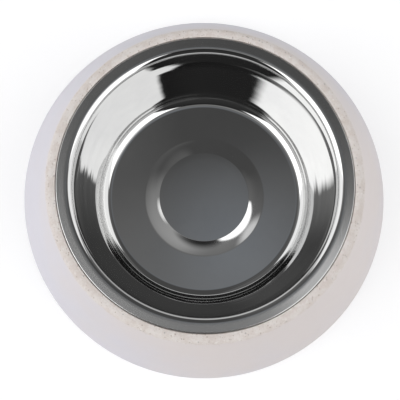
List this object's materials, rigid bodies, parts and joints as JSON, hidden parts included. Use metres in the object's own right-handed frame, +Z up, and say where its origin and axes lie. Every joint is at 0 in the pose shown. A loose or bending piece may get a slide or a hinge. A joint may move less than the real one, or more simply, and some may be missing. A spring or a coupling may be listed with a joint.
{
  "type": "stainless dog bowl in a stand",
  "caption": "Round polished steel feeding bowl with a rolled rim, lifting out of a low flared off-white stand with a rubber ring under its foot.",
  "frame": {"origin": "middle of the foot, on the ground", "axes": "+Z up along the axis of the bowl, which is the same on every side"},
  "size_m": [0.2068, 0.2067, 0.0569],
  "materials": {
    "polished_steel": "polished",
    "speckled_moulding": "satin",
    "black_rubber": "matte"
  },
  "bodies": {
    "stand": {"base_shell": "speckled_moulding", "anti_slip_ring": "black_rubber"},
    "bowl": {"steel_bowl": "polished_steel"}
  },
  "joints": [
    {"name": "bowl_lift", "type": "slide", "parent": "stand", "child": "bowl", "axis": [0, 0, 1], "range_m": [0, 0.06]}
  ]
}
